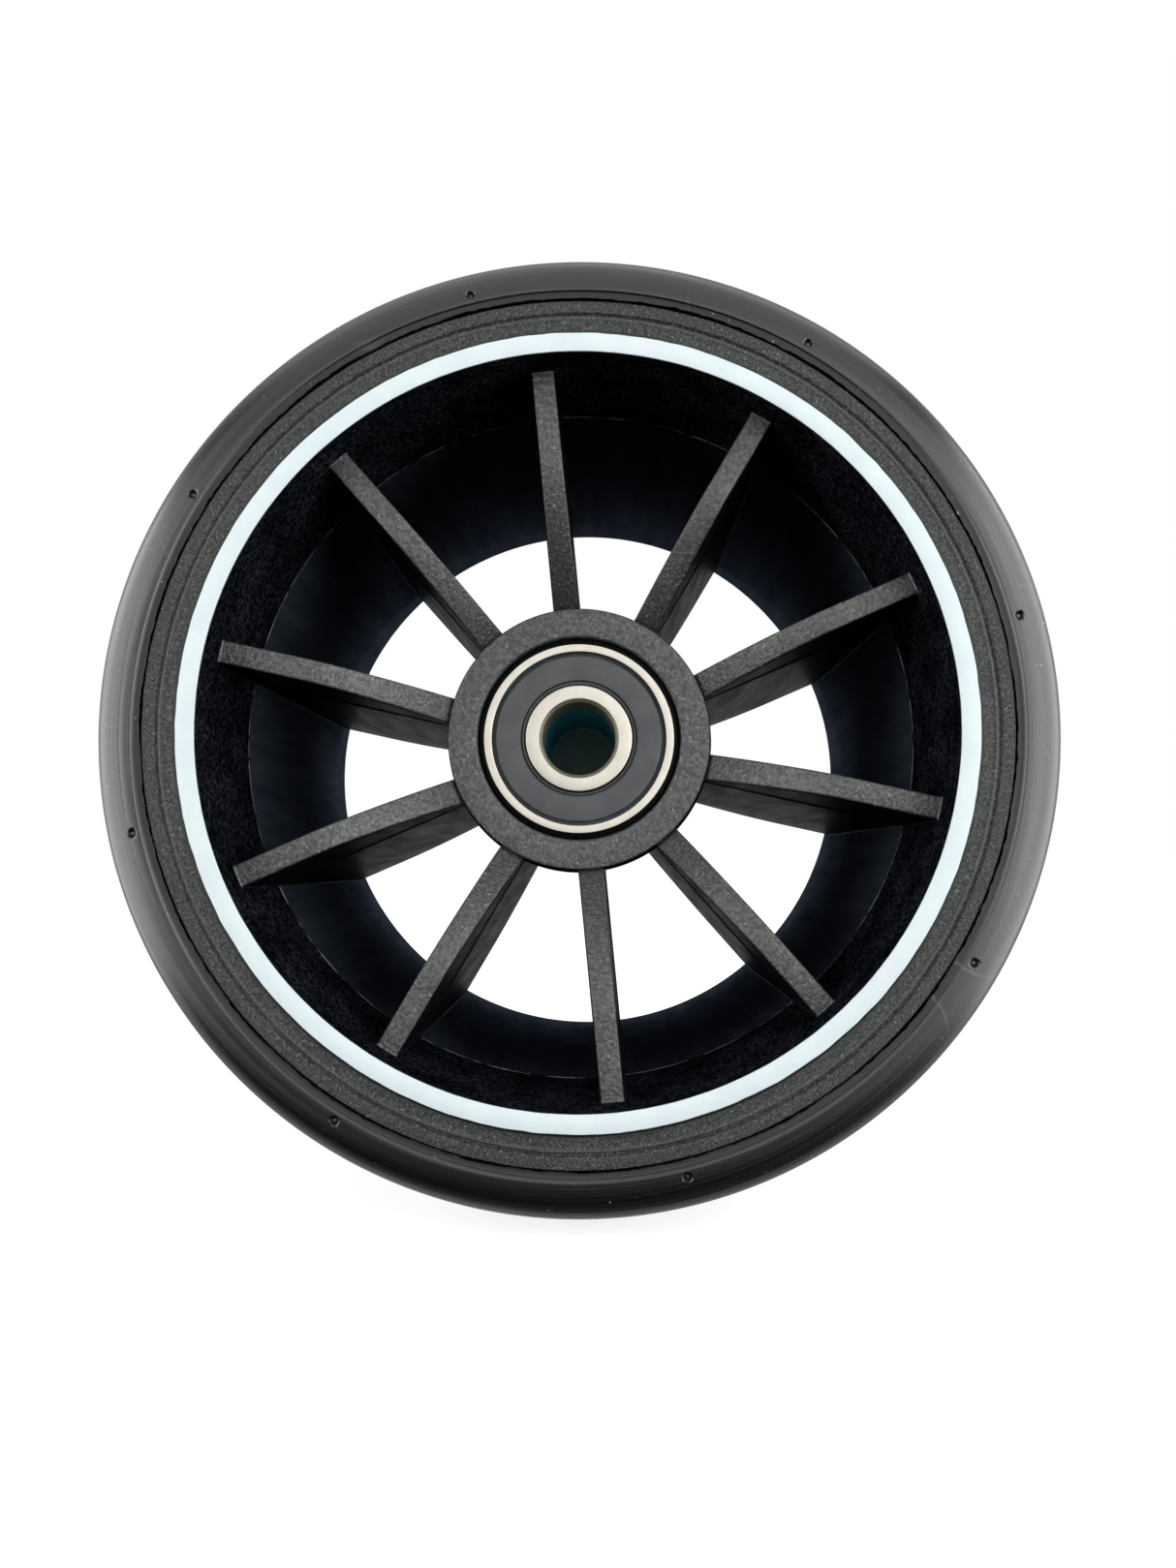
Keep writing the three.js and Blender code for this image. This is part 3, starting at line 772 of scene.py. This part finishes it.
def add_spoke(draft, degrees):
    """One spoke at an angle round the wheel: grained front and rear edges, smooth flanks."""
    angle = math.radians(degrees)
    along = Vector((math.cos(angle), 0, math.sin(angle)))
    across = Vector((-math.sin(angle), 0, math.cos(angle)))
    span = PARTING_RADIUS - HUB_PARTING_RADIUS
    rows = []
    for share in spoke_stations():
        section = spoke_section(HUB_PARTING_RADIUS + span * share, (1 - share) * span)
        row = []
        for half, depth in section:
            r = hub_wall(depth) + (rim_wall(depth) - hub_wall(depth)) * share
            spot = along * r + across * half
            row.append(draft.add_vertex(spot.x, at_depth(depth), spot.z))
        rows.append(row)
    size = len(section)
    front_edge, rear_edge = section[0][1], section[size // 2][1]
    corner = SPOKE_CORNER + 0.01
    for here, there in zip(rows, rows[1:]):
        for j in range(size):
            k = (j + 1) % size
            near_front = max(section[j][1], section[k][1]) < front_edge + corner
            near_rear = min(section[j][1], section[k][1]) > rear_edge - corner
            slot = GRAIN_SLOT if near_front or near_rear else FLANK_SLOT
            draft.add_face((here[j], there[j], there[k], here[k]), slot)
    draft.add_face(tuple(rows[0]), FLANK_SLOT)
    draft.add_face(tuple(reversed(rows[-1])), FLANK_SLOT)


def build_core():
    draft = MeshDraft()
    add_ring(draft, rim_profile(), WHEEL_SEGMENTS, rim_zone, rim_shape)
    add_ring(draft, hub_profile(), WHEEL_SEGMENTS // 2, hub_zone)
    for i in range(SPOKE_COUNT):
        add_spoke(draft, SPOKE_FIRST_ANGLE + 360 * i / SPOKE_COUNT)
    materials = [FACE_PLASTIC, LIP_PLASTIC, SHADED_WALL_PLASTIC, SHEEN_SMOOTH_PLASTIC, SHADED_FLANK_PLASTIC]
    core = draft.build("wheel_core", materials, sharp_degrees=40)
    spokes = [f"spoke_{i + 1:02d}" for i in range(SPOKE_COUNT)]
    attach(core, "wheel")
    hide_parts("rim_barrel", "hub_boss", *spokes)


def build_stripe():
    """A thin coat of paint on the front bead, its outer edge slightly uneven."""
    profile = rounded(
        [
            (LIP_RADIUS + 0.04, at_depth(PAINT_THICKNESS + 0.02), 0),
            (LIP_RADIUS + 0.04, at_depth(0.0), 0.03),
            (PAINT_OUTER_RADIUS, at_depth(0.0), 0.03),
            (PAINT_OUTER_RADIUS, at_depth(PAINT_THICKNESS + 0.02), 0),
        ],
        steps=2,
    )

    def shape(r, y, angle):
        edge = 0.045 if r > PAINT_OUTER_RADIUS - 0.1 else 0.015
        return r + edge * (wobble(angle, 22, 5.5) + 0.7 * wobble(angle, 90, 2.5)) / 1.4, y

    stripe = ring_piece("painted_stripe", profile, WHEEL_SEGMENTS, [PAINT], shape=shape)
    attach(stripe, "wheel")
    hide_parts("rim_stripe")


# ---------------------------------------------------------------- tyre

TREAD_SLOT, BEAD_SLOT = range(2)


def tyre_half():
    """Front half of the tyre's section, from the bead's edge to the middle of the tread."""
    edge = RIM_RADIUS + TYRE_BEAD_GAP
    start = TYRE_BEAD_DEPTH
    section = [
        (edge, start + 1.4),
        (edge, start + 0.2),
        (edge + 0.01, start + 0.05),
        (edge + 0.05, start),
        (CREASE_RADIUS - 0.14, start - 0.03),
        (CREASE_RADIUS - 0.09, start - 0.05),
        (CREASE_RADIUS - 0.06, start - 0.04),
        (CREASE_RADIUS, start + 0.02),
        (CREASE_RADIUS + 0.04, start - 0.01),
        (CREASE_RADIUS + 0.14, start - 0.14),
    ]
    points = [Vector((r, at_depth(depth))) for r, depth in section]
    face_turn = math.radians(FACE_TURN)
    for step in range(FACE_STEPS):
        turn = face_turn * step / FACE_STEPS
        r = FACE_START_RADIUS + FACE_CURVE * math.sin(turn)
        points.append(Vector((r, at_depth(FACE_CURVE * (1 - math.cos(turn))))))
    drop = FACE_CURVE * (1 - math.cos(face_turn)) - SHOULDER_RADIUS * (1 - math.cos(face_turn))
    centre_y = at_depth(SHOULDER_RADIUS + drop)
    sweep = 90 - CROWN_SLOPE - FACE_TURN
    for step in range(SHOULDER_STEPS + 1):
        turn = math.radians(FACE_TURN + sweep * step / SHOULDER_STEPS)
        r = SHOULDER_CENTRE_RADIUS + SHOULDER_RADIUS * math.sin(turn)
        points.append(Vector((r, centre_y - SHOULDER_RADIUS * math.cos(turn))))
    crown = points[-1].copy()
    for step in range(1, CROWN_STEPS + 1):
        share = step / CROWN_STEPS
        rise = 1 - (1 - share) ** 2
        points.append(Vector((crown.x + (TYRE_RADIUS - crown.x) * rise, crown.y * (1 - share))))
    return points


def tyre_shape(r, y, angle):
    """The bead's trimmed edge is ragged, so the joint to the rim is wider here and there."""
    from_edge = r - RIM_RADIUS - TYRE_BEAD_GAP
    if not -0.01 < from_edge < 0.1:
        return r, y
    ragged = sum(height * wobble(angle, frequency, seed) for height, frequency, seed in BEAD_WAVES)
    return max(RIM_RADIUS + LEAST_BEAD_GAP, r + ragged), y


def tyre_zone(r, y):
    """The bead beside the rim is duller than the tread and the shoulders."""
    return BEAD_SLOT if r < CREASE_RADIUS - 0.08 else TREAD_SLOT


def build_tyre():
    """The solid tyre, with a rib on its inside that sits in the rim's waist."""
    half = tyre_half()
    inside = RIM_RADIUS + INNER_CLEARANCE
    lock = WAIST_RADIUS + LOCK_CLEARANCE
    lock_y = at_depth(WAIST_DEPTH + LOCK_CLEARANCE)
    inner = [
        Vector((inside, -lock_y)),
        Vector((lock, -lock_y)),
        Vector((lock, lock_y)),
        Vector((inside, lock_y)),
    ]
    profile = half + [Vector((p.x, -p.y)) for p in reversed(half[:-1])] + inner
    materials = [RUBBER, BEAD_RUBBER]
    tyre = ring_piece("solid_tyre", profile, WHEEL_SEGMENTS * 2, materials, tyre_zone, tyre_shape)
    cut_vents(tyre)
    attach(tyre, "wheel")
    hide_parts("tyre")


def cut_vents(tyre):
    """Small blind holes left by the mould's pins on the front shoulder."""
    draft = MeshDraft()
    sides = 20
    start = -1.5
    floor = VENT_FLOOR_DEPTH
    profile = [
        (0.0, start),
        (VENT_RADIUS, start),
        (VENT_RADIUS, floor),
        (VENT_RADIUS * 0.75, floor + 0.12),
        (VENT_RADIUS * 0.45, floor - 0.03),
        (0.0, floor - 0.06),
    ]
    turns = [2 * math.pi * step / sides for step in range(sides)]
    for i in range(VENT_COUNT):
        angle = math.radians(VENT_FIRST_ANGLE + 360 * i / VENT_COUNT)
        cx, cz = VENT_RING_RADIUS * math.cos(angle), VENT_RING_RADIUS * math.sin(angle)
        rows = []
        for r, depth in profile:
            y = at_depth(depth)
            row = [(cx + r * math.cos(turn), y, cz + r * math.sin(turn)) for turn in turns]
            rows.append([draft.add_vertex(*spot) for spot in (row if r > 0 else row[:1])])
        join_rows(draft, rows, sides)
    cutter = draft.build("vent_cutter", [RUBBER])
    cut = tyre.modifiers.new("vents", "BOOLEAN")
    cut.operation = "DIFFERENCE"
    cut.solver = "EXACT"
    cut.object = cutter
    bpy.context.view_layer.update()
    shape = tyre.evaluated_get(bpy.context.evaluated_depsgraph_get())
    mesh = bpy.data.meshes.new_from_object(shape)
    tyre.modifiers.clear()
    tyre.data = mesh
    bpy.data.objects.remove(cutter)


# ---------------------------------------------------------------- ball bearings

BRIGHT_SLOT, DULL_SLOT = range(2)


def raceway(outward, steps=12):
    """Half a raceway's arc, from its front shoulder round to its back one."""
    reach = math.radians(RACEWAY_REACH_DEGREES)
    points = []
    for step in range(steps + 1):
        turn = -reach + 2 * reach * step / steps
        r = PITCH_RADIUS + outward * RACEWAY_RADIUS * math.cos(turn)
        points.append((r, RACEWAY_RADIUS * math.sin(turn), 0))
    return points


def outer_ring_profile():
    """Section of the outer ring: ground faces, seal grooves and the raceway."""
    half = BEARING_WIDTH / 2
    shoulder = PITCH_RADIUS + RACEWAY_RADIUS * math.cos(math.radians(RACEWAY_REACH_DEGREES))
    front = [
        (shoulder, -half + 1.25, 0.05),
        (LAND_RADIUS + 0.35, -half + 1.25, 0.05),
        (LAND_RADIUS + 0.35, -half + 0.5, 0.1),
        (LAND_RADIUS, -half + 0.35, 0.05),
        (LAND_RADIUS, -half, 0.07),
        (RING_FACE_RADIUS, -half, 0.05),
        (BEARING_RADIUS, -half + BEARING_RADIUS - RING_FACE_RADIUS, 0.1),
    ]
    rear = [(r, -y, fillet) for r, y, fillet in reversed(front)]
    return rounded(front + rear + raceway(1)[::-1], steps=5)


def inner_ring_profile():
    """Section of the inner ring: chamfered bore, steps for the seals and the raceway."""
    half = BEARING_WIDTH / 2
    front = [
        (BORE_RADIUS, -half + BORE_CHAMFER, 0.05),
        (BORE_RADIUS + BORE_CHAMFER, -half, 0.05),
        (INNER_LAND, -half, 0.1),
        (INNER_LAND, -half + 0.55, 0.05),
        (INNER_LAND - 0.2, -half + 0.8, 0.05),
        (INNER_LAND - 0.2, -half + 1.1, 0.05),
    ]
    rear = [(r, -y, fillet) for r, y, fillet in reversed(front)]
    return rounded(front + raceway(-1) + rear, steps=5)


def seal_profile(side):
    """Pressed seal: thin flat web, a lip groove near the inner ring and a tucked outer bead."""
    face = BEARING_WIDTH / 2 - SEAL_RECESS
    points = [
        (INNER_LAND + 0.14, face - 0.5, 0.03),
        (INNER_LAND + 0.14, face - 0.14, 0.05),
        (INNER_LAND + 0.21, face - 0.05, 0.04),
        (INNER_LAND + 0.33, face - 0.03, 0.04),
        (INNER_LAND + 0.37, face - 0.5, 0.02),
        (INNER_LAND + 0.54, face - 0.5, 0.02),
        (INNER_LAND + 0.58, face, 0.05),
        (LAND_RADIUS - 0.46, face, 0.1),
        (LAND_RADIUS - 0.4, face - 0.7, 0.05),
        (LAND_RADIUS + 0.28, face - 0.72, 0.03),
        (LAND_RADIUS + 0.28, face - 0.85, 0.05),
        (LAND_RADIUS - 0.6, face - 0.85, 0.05),
        (LAND_RADIUS - 0.75, face - 0.62, 0.05),
        (INNER_LAND + 0.3, face - 0.62, 0.05),
    ]
    return rounded([(r, side * y, fillet) for r, y, fillet in points], steps=3)


def shifted(profile, y):
    """The same profile, moved along the wheel's axis."""
    return [Vector((r, height + y)) for r, height in profile]


def build_bearing(side, y):
    """One sealed bearing: rings, two seals, crown cage and balls."""
    parts = [
        ("outer_ring", outer_ring_profile(), [STEEL, EDGE_SHADE_STEEL], "wheel", "bearing_steel"),
        ("inner_ring", inner_ring_profile(), [STEEL, BORE_STEEL], "axle_set", "bearing_steel"),
        ("seal_a", seal_profile(-1), [SEAL], "wheel", "seal_rubber"),
        ("seal_b", seal_profile(1), [SEAL], "wheel", "seal_rubber"),
    ]

    def zone(r, height):
        near_end = abs(height - y) > BEARING_WIDTH / 2 - 0.8
        outer_chamfer = near_end and r > RING_FACE_RADIUS + 0.04
        bore = r < BORE_RADIUS + BORE_CHAMFER - 0.03
        return DULL_SLOT if outer_chamfer or bore else BRIGHT_SLOT

    for part, profile, materials, body, slot in parts:
        name = f"{side}_{part}"
        choose = zone if len(materials) > 1 else None
        placed = shifted(profile, y)
        piece = ring_piece(f"{name}_finished", placed, BEARING_SEGMENTS, materials, choose)
        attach(piece, body)
        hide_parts(name)
    cage = bpy.data.objects[f"{side}_cage"]
    cage.material_slots[0].material = NYLON
    for i in range(BALL_COUNT):
        build_ball(f"{side}_ball_{i + 1}", f"{side}_cage_set")


def build_ball(node, body):
    """A smooth ball in the place of its faceted CAD one."""
    low, high = box_mm(node)
    centre = (low + high) / 2
    draft = MeshDraft()
    rings, sides = 16, 28
    turns = [2 * math.pi * step / sides for step in range(sides)]
    rows = []
    for i in range(rings + 1):
        tilt = math.pi * i / rings
        r, z = BALL_RADIUS * math.sin(tilt), centre.z + BALL_RADIUS * math.cos(tilt)
        row = [(centre.x + r * math.cos(turn), centre.y + r * math.sin(turn), z) for turn in turns]
        rows.append([draft.add_vertex(*spot) for spot in (row if 0 < i < rings else row[:1])])
    join_rows(draft, rows, sides)
    ball = draft.build(f"{node}_finished", [BALL_STEEL])
    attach(ball, body)
    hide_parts(node)


def build_spacer():
    """The tube that holds the two inner rings apart."""
    half = SPACER_HALF - SEAT_CLEARANCE
    profile = rounded(
        [
            (SPACER_BORE_RADIUS, -half, 0.2),
            (SPACER_RADIUS, -half, 0.2),
            (SPACER_RADIUS, half, 0.2),
            (SPACER_BORE_RADIUS, half, 0.2),
        ]
    )
    spacer = ring_piece("spacer_finished", profile, BEARING_SEGMENTS, [SPACER])
    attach(spacer, "axle_set")
    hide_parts("bearing_spacer")


# ---------------------------------------------------------------- stage, light and camera


def build_floor():
    """A wide pale floor that the tyre stands on, bright enough to run into the backdrop."""
    draft = MeshDraft()
    level = -TYRE_RADIUS - FLOOR_GAP
    reach = FLOOR_REACH
    corners = [(-reach, -reach), (reach, -reach), (reach, reach), (-reach, reach)]
    draft.add_face(tuple(draft.add_vertex(x, y, level) for x, y in corners))
    shader = Shader("pale_floor", Roughness=0.9, Emission_Strength=1.0, Specular_IOR_Level=0.0)
    tone = shader.ramp(shader.noise(0.01, detail=2), [(0.3, 0.5), (0.7, 0.54)])
    glow = shader.ramp(shader.distance_mm(700), [(0.1, 0.8), (0.9, 1.0)])
    shader.link(glow, shader.surface, "Emission Color")
    floor = draft.build("floor", [shader.finish(tone)])
    floor.visible_diffuse = False
    floor.visible_glossy = False


def build_bore_shade_card():
    """Painted shade: a dark card inside the bore, standing in for the shadow seen through it, so
    that the pale surround doesn't shine through the wheel.
    """
    draft = MeshDraft()
    sides = 48
    radius = SPACER_BORE_RADIUS
    edge = []
    for i in range(sides):
        angle = 2 * math.pi * i / sides
        x, z = radius * math.cos(angle), radius * math.sin(angle)
        edge.append(draft.add_vertex(x, SHADE_CARD_PLACE, z))
    draft.add_face(tuple(edge))
    shader = Shader("bore_shade_paint", Specular_IOR_Level=0.0)
    tones = [(0.3, (0.16, 0.2, 0.19)), (0.7, (0.21, 0.25, 0.23))]
    tone = shader.ramp(shader.noise(0.4, detail=2), tones)
    draft.build("bore_shade_card", [shader.finish(tone)])


def build_world():
    """A white surround; on the object it is a soft light from behind and almost none in front."""
    world = bpy.data.worlds.new("surround")
    world.use_nodes = True
    bpy.context.scene.world = world
    nodes, links = world.node_tree.nodes, world.node_tree.links
    backdrop = nodes["Background"]
    backdrop.inputs["Color"].default_value = (1.0, 1.0, 1.0, 1.0)
    backdrop.inputs["Strength"].default_value = 1.0
    place = nodes.new("ShaderNodeTexCoord")
    split = nodes.new("ShaderNodeSeparateXYZ")
    links.new(place.outputs["Generated"], split.inputs[0])
    ramp = nodes.new("ShaderNodeValToRGB")
    front, back = ramp.color_ramp.elements
    front.position, front.color = 0.0, FRONT_AMBIENT
    back.position, back.color = BACK_AMBIENT_START, BACK_AMBIENT
    links.new(split.outputs["Y"], ramp.inputs[0])
    ambient = nodes.new("ShaderNodeBackground")
    links.new(ramp.outputs["Color"], ambient.inputs["Color"])
    path = nodes.new("ShaderNodeLightPath")
    mix = nodes.new("ShaderNodeMixShader")
    links.new(path.outputs["Is Camera Ray"], mix.inputs[0])
    links.new(ambient.outputs[0], mix.inputs[1])
    links.new(backdrop.outputs[0], mix.inputs[2])
    links.new(mix.outputs[0], nodes["World Output"].inputs["Surface"])


def add_softbox(name, place, aim, size, brightness, colour):
    """An area light whose face has the given brightness, whatever its size."""
    light = bpy.data.lights.new(name, "AREA")
    light.shape = "RECTANGLE"
    light.size, light.size_y = size
    light.energy = brightness * math.pi * size[0] * size[1]
    light.color = colour
    softbox = bpy.data.objects.new(name, light)
    bpy.context.collection.objects.link(softbox)
    softbox.location = place
    facing = Vector(aim) - Vector(place)
    softbox.rotation_euler = facing.to_track_quat("-Z", "Y").to_euler()


def build_lights():
    """Long soft windows at both sides, a dimmer one overhead and three weaker ones in front."""
    for softbox in SOFTBOXES:
        add_softbox(*softbox)


def build_camera():
    """A camera close to the wheel's face, a little below its axis and looking slightly up."""
    data = bpy.data.cameras.new("camera")
    data.sensor_fit = "HORIZONTAL"
    data.sensor_width = 36.0
    data.lens = CAMERA_LENS
    data.clip_start = 0.005
    camera = bpy.data.objects.new("camera", data)
    bpy.context.collection.objects.link(camera)
    camera.location = Vector(CAMERA_PLACE) * MM
    camera.rotation_euler = (math.radians(90 + CAMERA_TILT), 0, math.radians(CAMERA_PAN))
    bpy.context.scene.camera = camera


bpy.context.scene.view_settings.view_transform = "Standard"
build_core()
build_stripe()
build_tyre()
build_bearing("front", at_depth(BEARING_FACE + BEARING_WIDTH / 2))
build_bearing("rear", -at_depth(BEARING_FACE + BEARING_WIDTH / 2))
build_spacer()
build_floor()
build_bore_shade_card()
build_world()
build_lights()
build_camera()
